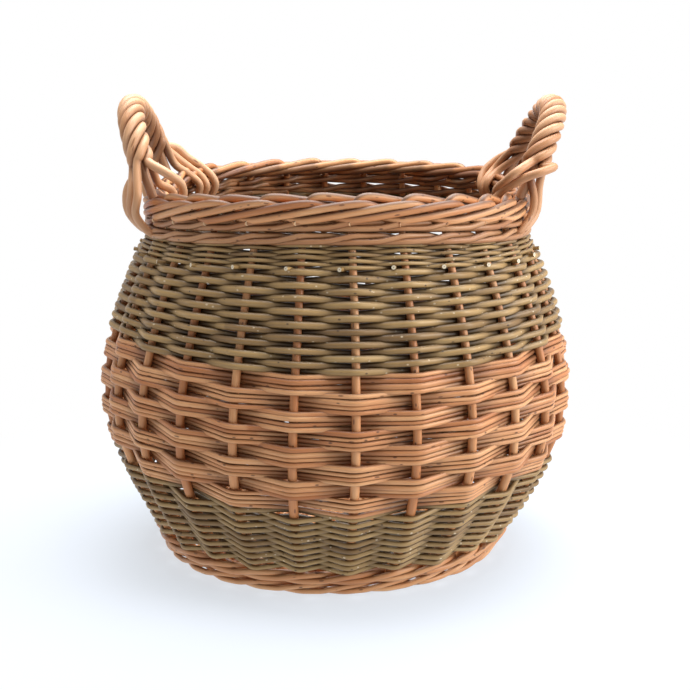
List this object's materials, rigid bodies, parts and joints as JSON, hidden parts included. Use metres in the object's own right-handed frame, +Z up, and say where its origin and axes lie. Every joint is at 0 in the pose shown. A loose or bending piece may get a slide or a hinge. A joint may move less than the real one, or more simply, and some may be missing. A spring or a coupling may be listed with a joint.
{
  "type": "woven wicker basket",
  "caption": "Round-bellied willow log basket with bands of buff and unpeeled green willow, a rolled border and two roped handles.",
  "frame": {"origin": "middle of the basket on the floor it stands on", "axes": "+Z up, -Y towards the viewer, the handles at -X and +X"},
  "size_m": [0.4589, 0.4568, 0.4393],
  "materials": {
    "buff_willow": "satin",
    "green_willow": "satin"
  },
  "bodies": {
    "root": {"base_half_stick": "buff_willow", "base_stick_over_1": "buff_willow", "base_stick_over_2": "buff_willow", "base_stick_over_3": "buff_willow", "base_stick_under_1": "buff_willow", "base_stick_under_2": "buff_willow", "base_stick_under_3": "buff_willow", "base_weaver": "buff_willow", "border": "buff_willow", "foot_wale_rod_1": "buff_willow", "foot_wale_rod_2": "buff_willow", "foot_wale_rod_3": "buff_willow", "handle_bow_left": "buff_willow", "handle_bow_right": "buff_willow", "lower_weaver_1": "green_willow", "lower_weaver_2": "green_willow", "roping_strand_left_1": "buff_willow", "roping_strand_left_2": "buff_willow", "roping_strand_left_3": "buff_willow", "roping_strand_left_4": "buff_willow", "roping_strand_right_1": "buff_willow", "roping_strand_right_2": "buff_willow", "roping_strand_right_3": "buff_willow", "roping_strand_right_4": "buff_willow", "slew_strand_1": "buff_willow", "slew_strand_2": "buff_willow", "stake_01": "buff_willow", "stake_02": "buff_willow", "stake_03": "buff_willow", "stake_04": "buff_willow", "stake_05": "buff_willow", "stake_06": "buff_willow", "stake_07": "buff_willow", "stake_08": "buff_willow", "stake_09": "buff_willow", "stake_10": "buff_willow", "stake_11": "buff_willow", "stake_12": "buff_willow", "stake_13": "buff_willow", "stake_14": "buff_willow", "stake_15": "buff_willow", "stake_16": "buff_willow", "stake_17": "buff_willow", "stake_18": "buff_willow", "stake_19": "buff_willow", "stake_20": "buff_willow", "stake_21": "buff_willow", "stake_22": "buff_willow", "stake_23": "buff_willow", "stake_24": "buff_willow", "stake_25": "buff_willow", "stake_26": "buff_willow", "top_wale_rod_1": "buff_willow", "top_wale_rod_2": "buff_willow", "top_wale_rod_3": "buff_willow", "upper_weaver_1": "green_willow", "upper_weaver_2": "green_willow"}
  },
  "joints": []
}
